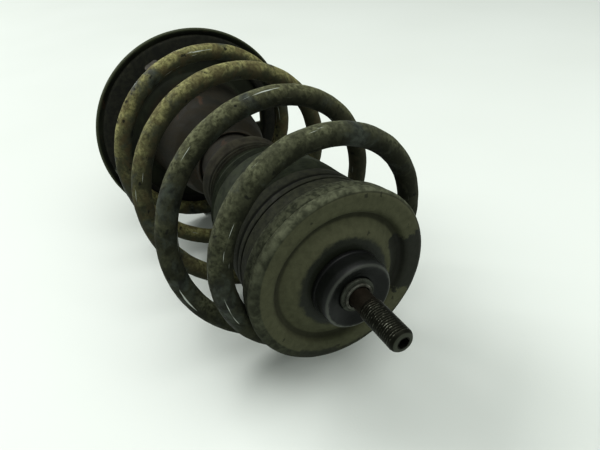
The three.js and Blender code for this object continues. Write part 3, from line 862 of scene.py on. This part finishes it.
# %% [markdown]
# ## Mud on the spring
#
# The wire's paint is dark, with rubbed blue-black places. Road mud has dried over it: browner on
# the turns near the wheel, greyer and greener near the top, pitted where crumbs fell out, and
# scored along the wire by handling. The scores read the wire's own attribute, so they
# follow it round every turn.

# %% Spring finish
def spring_finish():
    material, tree, shader, at = finish("muddy_spring_steel")
    wire = node(tree, "Attribute", attribute_name="along_wire").outputs["Vector"]
    mud = grime(tree, at, 30.0, 0.66, 0.08)
    crust = grime(tree, at, 95.0, 0.45, 0.05)
    pits = flecks(tree, at, 210.0, 0.33, 0.14)
    scores = placed(tree, SCRATCHES, {"Vector": wire, "Stretch": (18, 420, 420),
                                      "Amount": 0.42}).outputs["Mask"]
    # The mask of faces turned up lightens the mud there: partly settled dust, partly painted
    # light. Faces turned down or sideways get the shaded colours, painted shade that is darker
    # still on the near turns.
    settled_and_lit = settled_dust_and_shade(tree, at)
    smeared = rising(tree, mud["Mottle"], 0.35, 0.65)
    paint = mixed(tree, smeared, tint(24, 27, 22), tint(60, 66, 58))
    near = rising(tree, at["Station"], -190.0, -60.0)  # 1 on the turns at the threaded end
    crumbly = rising(tree, crust["Mottle"], 0.3, 0.7)
    brown = mixed(tree, crumbly, tint(84, 83, 54), tint(142, 140, 96))
    grey = mixed(tree, crumbly, tint(46, 48, 33), tint(92, 95, 74))
    shaded = mixed(tree, near, mixed(tree, crust["Mottle"], tint(42, 43, 29), tint(66, 67, 49)),
                   mixed(tree, crust["Mottle"], tint(22, 24, 15), tint(42, 44, 31)))
    coat = mixed(tree, settled_and_lit, shaded, mixed(tree, near, brown, grey))
    coat = mixed(tree, times(tree, crust["Mask"], 0.5), coat,
                 mixed(tree, near, tint(70, 60, 40), tint(56, 58, 44)))
    colour = mixed(tree, mud["Mask"], paint, coat)
    colour = mixed(tree, times(tree, pits, 0.85), colour, tint(22, 24, 18))
    colour = mixed(tree, scores, colour, tint(170, 176, 168))
    rough = levels(tree, mud["Mask"], 0.5, 0.9)
    rough = levels(tree, scores, rough, 0.35)
    lumps = calc(tree, "ADD", times(tree, mud["Mask"], 0.5), times(tree, crust["Height"], 0.8))
    lumps = calc(tree, "SUBTRACT", lumps, times(tree, pits, 0.5))
    connect(tree, shader, colour, rough, lumps, 0.45)
    return material


give(spring, spring_finish())

# %% [markdown]
# ## Dust on the upper seat
#
# The cap is black under olive-grey dust. A hand has wiped one side of the outer ring back
# to black, with a ragged edge; another smaller patch is rubbed at the bottom. Grease from the
# bearing has crept out round the bush and darkened the dome. The foot of the step is darker,
# partly dirt and partly painted shade. Past a crease the rim is crusted like the pad behind it,
# in a band that is wider on one side; on its narrower side the crease is a painted shadow line.
# The crust is lighter where it faces up and darker where it faces down: partly settled dust,
# partly painted shade.

# %% Upper seat finish
# CREASE_TURN also sets the side where the crease's painted shadow falls.
CREASE_TURN, CREASE_SWAY = 40.0, 2.3  # the crusted rim is narrower on this side, by this much
WIPED_FROM, WIPED_TO = -35.0, 22.0  # turns, in degrees, between which a hand wiped the cap
RUBBED_FROM, RUBBED_TO = -124.0, -92.0  # and between which its lowest edge is rubbed


def seat_finish():
    material, tree, shader, at = finish("dusty_seat_paint")
    dust = grime(tree, at, 60.0, 0.8, 0.12)
    ragged = calc(tree, "SUBTRACT", noise(tree, at["Vector"], 75.0, 5, 0.65), 0.5)
    turn = calc(tree, "ADD", at["Turn"], times(tree, ragged, 38.0))
    radius = calc(tree, "ADD", at["Radius"], times(tree, ragged, 10.0))
    wiped = times(tree, band(tree, turn, WIPED_FROM, WIPED_TO, 1.5),
                  rising(tree, radius, 31.0, 33.0))
    rubbed = times(tree, band(tree, turn, RUBBED_FROM, RUBBED_TO, 2.0),
                   rising(tree, radius, 48.0, 50.5))
    grease = rising(tree, radius, 29.6, 26.6)
    # The crease line is painted shadow, dark only on the side toward CREASE_TURN; the step's foot
    # is darkened partly by dirt and partly by painted shade.
    sway = calc(tree, "COSINE", times(tree, calc(
        tree, "SUBTRACT", at["Turn"], CREASE_TURN), math.pi / 180))
    rim_at = calc(tree, "SUBTRACT", at["Radius"], times(tree, sway, CREASE_SWAY))
    crease_shadow = times(tree, band(tree, rim_at, 52.3, 52.9, 0.4), rising(tree, sway, -0.2, 0.6))
    step_dirt_and_shade = calc(tree, "MAXIMUM", band(tree, at["Radius"], 38.6, 42.0, 0.8), crease_shadow)
    pale = flecks(tree, at, 90.0, 0.1, 0.16)
    dark = flecks(tree, at, 120.0, 0.16, 0.12)
    paint = mixed(tree, dust["Mottle"], tint(24, 26, 19), tint(38, 40, 31))
    coat = mixed(tree, dust["Mottle"], tint(56, 57, 42), tint(84, 86, 66))
    shoulder = rising(tree, rim_at, 52.2, 53.4)
    settled_and_lit = settled_dust_and_shade(tree, at)
    # The crust is lighter where it faces up and darker where it faces down: partly settled dust,
    # partly painted shade.
    crust_shaded = mixed(tree, settled_and_lit, tint(38, 40, 30), tint(58, 61, 47))
    crust_dusty_lit = mixed(tree, settled_and_lit, tint(58, 61, 48), tint(92, 95, 77))
    crusted = mixed(tree, rising(tree, dust["Mottle"], 0.3, 0.7), crust_shaded, crust_dusty_lit)
    coat = mixed(tree, shoulder, coat, crusted)
    clean = calc(tree, "MAXIMUM", wiped, times(tree, rubbed, 0.8))
    cover = times(tree, calc(tree, "SUBTRACT", 1.0, clean),
                  levels(tree, dust["Mask"], 0.86, 1.0))
    colour = mixed(tree, cover, paint, coat)
    colour = mixed(tree, times(tree, step_dirt_and_shade, 0.55), colour, tint(26, 26, 20))
    colour = mixed(tree, times(tree, grease, 0.88), colour, tint(15, 20, 15))
    colour = mixed(tree, times(tree, dark, 0.6), colour, tint(30, 30, 24))
    colour = mixed(tree, pale, colour, tint(190, 194, 184))
    rough = levels(tree, cover, 0.62, 0.93)
    rough = levels(tree, grease, rough, 0.5)
    lumps = calc(tree, "ADD", times(tree, cover, 0.25), dust["Height"])
    connect(tree, shader, colour, rough, lumps, 0.22)
    return material


give(upper_seat, seat_finish())

# %% [markdown]
# ## Rubber, dusty in its own ways
#
# The pad, collar, boot and lower pad are all dark rubber, but the dirt sits differently. The
# pad's bulge is crusted and mottled, its sleeve is smooth and grey, the collar has a brown
# stain behind its groove, and the boot is greenish, with painted shade in the valleys between
# its ribs. Faces turned down or sideways are painted darker, partly less dust and partly
# painted shade. One function makes them, and each piece says how its colours change from
# station to station.

# %% Rubber finishes
def rubber_finish(name, bare, coats, scale, amount, depth, roughness=0.86, crest=None, folds=()):
    """coats: (from station, to station, dark colour, light colour), blended one on another;
    folds: (from station, to station, pitch, station of a crest), painted shade between ribs."""
    material, tree, shader, at = finish(name)
    dust = grime(tree, at, scale, amount, 0.1)
    colour = mixed(tree, dust["Mottle"], bare, bare)
    for low, high, dark, light in coats:
        ragged = times(tree, calc(tree, "SUBTRACT", dust["Mottle"], 0.5), 2.0)
        here = band(tree, calc(tree, "ADD", at["Station"], ragged), low, high, 0.6)
        cover = times(tree, here, levels(tree, dust["Mask"], 0.72, 1.0))
        spread = rising(tree, dust["Mottle"], 0.36, 0.64)
        colour = mixed(tree, cover, colour, mixed(tree, spread, dark, light))
    # Faces turned down or sideways go back toward the bare rubber colour: partly less settled
    # dust, partly painted shade.
    settled_and_lit = settled_dust_and_shade(tree, at, -0.2)
    colour = mixed(tree, times(tree, calc(tree, "SUBTRACT", 1.0, settled_and_lit), 0.55), colour, bare)
    # The valleys between ribs are painted darker, as painted shade.
    for low, high, pitch, crest_at in folds:
        wave = calc(tree, "COSINE", times(tree, calc(
            tree, "SUBTRACT", at["Station"], crest_at), 2 * math.pi / pitch))
        valley_shade = times(tree, rising(tree, wave, 0.2, -0.8),
                       band(tree, at["Station"], low, high, 2.0))
        colour = mixed(tree, times(tree, valley_shade, 0.8), colour, tint(13, 15, 12))
    if crest is not None:
        rubbed = placed(tree, EDGES, {"Vector": at["Vector"], "Low": 0.5,
                                      "High": 0.6}).outputs["Mask"]
        colour = mixed(tree, times(tree, rubbed, 0.5), colour, crest)
    crumbs = flecks(tree, at, 170.0, 0.2, 0.06)
    colour = mixed(tree, times(tree, crumbs, 0.5), colour, tint(30, 30, 24))
    rough = levels(tree, dust["Mask"], roughness - 0.16, roughness)
    connect(tree, shader, colour, rough, dust["Height"], depth)
    return material


give(upper_pad, rubber_finish(
    "crusted_pad_rubber", tint(30, 31, 28),
    [(-60, 0, tint(32, 34, 24), tint(46, 48, 35)), (-18.6, 0, tint(46, 49, 37), tint(80, 83, 66))],
    70.0, 0.85, 0.5))
give(boot_collar, rubber_finish(
    "collar_plastic", tint(28, 29, 26),
    [(-38.4, -30, tint(30, 32, 23), tint(44, 46, 34)),
     (-60, -41, tint(27, 29, 20), tint(40, 42, 30))],
    60.0, 0.8, 0.2, 0.8))
give(boot, rubber_finish(
    "boot_rubber", tint(24, 27, 22),
    [(-150, -40, tint(31, 36, 25), tint(47, 52, 38)),
     (-150, -128, tint(33, 31, 23), tint(48, 46, 35))],
    32.0, 0.7, 0.18, 0.86, tint(52, 57, 46),
    ((-70, -40, NEAR_RIB, BOOT_TOP), (-136, -95, FAR_RIB, 0))))
give(lower_pad, rubber_finish(
    "lower_pad_rubber", tint(26, 27, 24),
    [(-400, 0, tint(34, 35, 29), tint(52, 53, 42))], 45.0, 0.4, 0.3))

# %% [markdown]
# ## Painted steel
#
# The lower seat, tube, base and bracket were painted black. Paint goes first from the edges,
# and rust then stains what is bare. The dish is dusty inside with a lighter rim, and its cone is
# reddish with fine dust. Bands of radius tell the dish from the cone.

# %% Painted steel finishes
def paint_finish(name, paint, dust_dark, dust_light, amount, wear=0.7, dish=False):
    material, tree, shader, at = finish(name)
    dust = grime(tree, at, 30.0, amount, 0.14)
    rust = grime(tree, at, 55.0, 0.22, 0.04)
    worn = placed(tree, EDGES, {"Vector": at["Vector"]}).outputs["Mask"]
    colour = mixed(tree, times(tree, rust["Mask"], 0.7), paint,
                   mixed(tree, rust["Mottle"], tint(48, 34, 24), tint(92, 62, 42)))
    colour = mixed(tree, times(tree, worn, wear), colour, tint(104, 92, 78))
    cover = levels(tree, dust["Mask"], 0.25, 0.9)
    coat = mixed(tree, dust["Mottle"], dust_dark, dust_light)
    if dish:
        cone = rising(tree, at["Radius"], 53.0, 49.0)
        reddish = mixed(tree, dust["Mottle"], tint(33, 30, 22), tint(52, 47, 35))
        coat = mixed(tree, cone, coat, reddish)
    colour = mixed(tree, cover, colour, coat)
    if dish:
        ragged = calc(tree, "ADD", at["Radius"], times(tree, dust["Mottle"], 1.5))
        lip = rising(tree, ragged, 91.4, 92.4)
        colour = mixed(tree, times(tree, lip, 0.8), colour, tint(64, 69, 52))
    rough = levels(tree, cover, 0.5, 0.9)
    lumps = calc(tree, "ADD", times(tree, rust["Mask"], 0.4), dust["Height"])
    connect(tree, shader, colour, rough, lumps, 0.25)
    return material


give(lower_seat, paint_finish(
    "dusty_dish_paint", tint(24, 26, 21), tint(30, 34, 25), tint(52, 56, 42), 0.5, 0.5, True))
tube_paint = paint_finish("tube_paint", tint(24, 24, 22), tint(36, 34, 28), tint(58, 55, 45), 0.45)
for piece in (outer_tube, tube_base, strap):
    give(piece, tube_paint)

# %% [markdown]
# ## Bush, washer and thread
#
# The bush is hard, nearly smooth rubber with an oily sheen; its rim is paler grey, more on
# its lower side. The washer and ring are plain steel, stained. The stud is oily: brown at its
# foot, black in the thread's grooves, and bright on the crests, partly where the nut has
# rubbed them and partly as a painted glint. Radius separates groove from crest, because the
# thread is real.

# %% Bush finish
def bush_finish():
    material, tree, shader, at = finish("oily_bush_rubber")
    smear = grime(tree, at, 70.0, 0.5, 0.2)
    ragged = times(tree, calc(tree, "SUBTRACT", smear["Mottle"], 0.5), 2.0)
    rim = times(tree, band(tree, calc(tree, "ADD", at["Radius"], ragged), 19.2, 21.2, 0.6),
                rising(tree, at["Station"], 14.8, 15.9))
    # The rim's crest is paler grey, more on its lower side.
    low_side = rising(tree, node(tree, "SeparateXYZ", {"Vector": at["Vector"]}).outputs["Z"],
                      AXIS_HEIGHT + 0.012, AXIS_HEIGHT - 0.010)
    pale_low_rim = times(tree, times(tree, rim, levels(tree, low_side, 0.5, 1.0)), 0.8)
    foot = rising(tree, at["Station"], 8.0, 4.0)
    colour = mixed(tree, smear["Mottle"], tint(10, 12, 10), tint(19, 22, 19))
    colour = mixed(tree, times(tree, smear["Mask"], 0.3), colour, tint(28, 31, 29))
    colour = mixed(tree, foot, colour, tint(14, 15, 15))
    colour = mixed(tree, pale_low_rim, colour, tint(84, 87, 80))
    rough = levels(tree, smear["Mask"], 0.42, 0.6)
    rough = levels(tree, pale_low_rim, rough, 0.62)
    connect(tree, shader, colour, rough, smear["Height"], 0.08)
    shader.inputs["Coat Roughness"].default_value = 0.35
    shader.inputs["Coat Weight"].default_value = 0.12
    return material


give(top_bush, bush_finish())

# %% Bare steel finishes
def steel_finish(name, dark, light, stain, stain_amount=0.5, roughness=0.38, metallic=0.85,
                 wear=0.6):
    material, tree, shader, at = finish(name, metallic)
    film = grime(tree, at, 120.0, stain_amount, 0.12)
    turning = node(tree, "CombineXYZ", {"X": times(tree, at["Radius"], 9.0),
                                            "Y": times(tree, at["Station"], 9.0)})
    lathe_marks = noise(tree, turning.outputs[0], 1.0, 2)
    colour = mixed(tree, lathe_marks, dark, light)
    colour = mixed(tree, times(tree, film["Mask"], 0.8), colour, stain)
    worn = placed(tree, EDGES, {"Vector": at["Vector"]}).outputs["Mask"]
    colour = mixed(tree, times(tree, worn, wear), colour, tint(190, 188, 176))
    rough = levels(tree, film["Mask"], roughness, roughness + 0.3)
    connect(tree, shader, colour, rough, levels(tree, 0.5, lathe_marks, film["Height"]), 0.08)
    return material


give(bush_sleeve, steel_finish("stained_washer_steel", tint(50, 53, 46), tint(76, 79, 70),
                               tint(38, 40, 33), 0.4, 0.6, 0.2, 0.08))
give(lock_ring, steel_finish(
    "ring_steel", tint(62, 64, 57), tint(98, 100, 92), tint(42, 41, 34), 0.5, 0.5, 0.4, 0.3))


def stud_finish():
    material, tree, shader, at = finish("oily_threaded_steel", 0.85)
    film = grime(tree, at, 130.0, 0.6, 0.15)
    foot = rising(tree, calc(tree, "ADD", at["Station"], times(tree, film["Mottle"], 12.0)),
                  40.0, 24.0)
    groove = rising(tree, at["Radius"], 6.9, 6.68)
    # Crests are painted bright: partly steel rubbed by the nut, partly a painted glint.
    crest = times(tree, rising(tree, at["Radius"], 6.88, 6.97),
                  rising(tree, film["Mottle"], 0.5, 0.64))
    oil = mixed(tree, film["Mottle"], tint(22, 23, 18), tint(46, 47, 39))
    colour = mixed(tree, foot, oil, mixed(tree, film["Mottle"], tint(34, 30, 25),
                                          tint(64, 57, 48)))
    end_face = times(tree, rising(tree, at["Station"], 54.2, 54.7),
                     rising(tree, at["Radius"], 3.6, 3.9))
    colour = mixed(tree, end_face, colour, tint(104, 108, 96))
    threaded = rising(tree, at["Station"], 26.8, 27.4)
    colour = mixed(tree, times(tree, times(tree, groove, threaded), 0.6),
                   colour, tint(22, 23, 18))
    colour = mixed(tree, times(tree, crest, 0.5), colour, tint(128, 130, 118))
    rough = levels(tree, film["Mask"], 0.26, 0.46)
    rough = levels(tree, groove, rough, 0.6)
    connect(tree, shader, colour, rough, film["Height"], 0.08)
    return material


give(rod, stud_finish())

# %% [markdown]
# ## The pieces inside
#
# Valve, piston, bearing, seal and bump stop never show, but a section or an opened-out view
# would show them. They keep their CAD shapes and get plain workshop finishes: oiled steel,
# brass, rubber and cellular foam, each with its own grain.

# %% Hidden pieces
def dress(material, *names):
    for name in names:
        nodes[name].data.materials.clear()
        nodes[name].data.materials.append(material)


inner_steel = steel_finish("oiled_inner_steel", tint(150, 150, 146), tint(182, 182, 176),
                           tint(110, 104, 84), 0.4, 0.25, 1.0)
dress(inner_steel, "pressure_tube", "rod_guide", "piston", "piston_nut",
      "bearing_lower_race", "bearing_upper_race")
dress(steel_finish("oiled_brass", tint(150, 124, 70), tint(182, 154, 92), tint(112, 96, 58),
                   0.4, 0.3, 1.0), "base_valve", "ball_cage")
inner_rubber = rubber_finish("inner_rubber", tint(24, 24, 24),
                             [(-500, 60, tint(26, 26, 26), tint(40, 40, 38))], 90.0, 0.5, 0.15)
dress(inner_rubber, "rod_seal", "rebound_stop", "piston_ring")
dress(rubber_finish("cellular_foam", tint(150, 130, 84),
                    [(-500, 60, tint(138, 118, 74), tint(170, 150, 100))], 240.0, 0.7, 0.6, 0.95),
      "bump_stop")
dress(tube_paint, "gland_cap", "bump_stop_cup")
print("dressed", sum(1 for n in nodes.values() if n.data.materials and not n.hide_render), "nodes")

# %% Bench finish
def bench_finish():
    material, tree, shader, at = finish("pale_bench")
    wash = noise(tree, at["Vector"], 3.0, 2)
    speck = flecks(tree, at, 60.0, 0.03, 0.04)
    colour = mixed(tree, wash, tint(198, 203, 197), tint(204, 209, 204))
    colour = mixed(tree, speck, colour, tint(120, 122, 112))
    rough = levels(tree, wash, 0.5, 0.6)
    connect(tree, shader, colour, rough, noise(tree, at["Vector"], 700.0, 2), 0.04)
    return material


give(bench, bench_finish())

# %% [markdown]
# ## Joining the pieces to the frame
#
# Each piece rides on the body that moves it and stands for its CAD node. The spring and the boot
# are held by two bodies at once; each gets a mesh of its own.

# %% Ride and replace
STANDS_FOR = [
    (spring, "coil_spring", "damper"), (boot, "dust_boot", "damper"),
    (lower_seat, "lower_spring_seat", "damper"), (lower_pad, "lower_spring_pad", "damper"),
    (outer_tube, "outer_tube", "damper"), (tube_base, "tube_base", "damper"),
    (strap, "knuckle_bracket", "damper"), (upper_seat, "upper_spring_seat", "spring_head"),
    (upper_pad, "upper_spring_pad", "spring_head"), (boot_collar, "boot_collar", "spring_head"),
    (top_bush, "top_bush", "rod"), (bush_sleeve, "bush_sleeve", "rod"),
    (lock_ring, "lock_ring", "rod"), (rod, "piston_rod", "rod")]
for piece, name, body in STANDS_FOR:
    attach(piece, body)
    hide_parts(name)

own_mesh(spring)
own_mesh(boot)
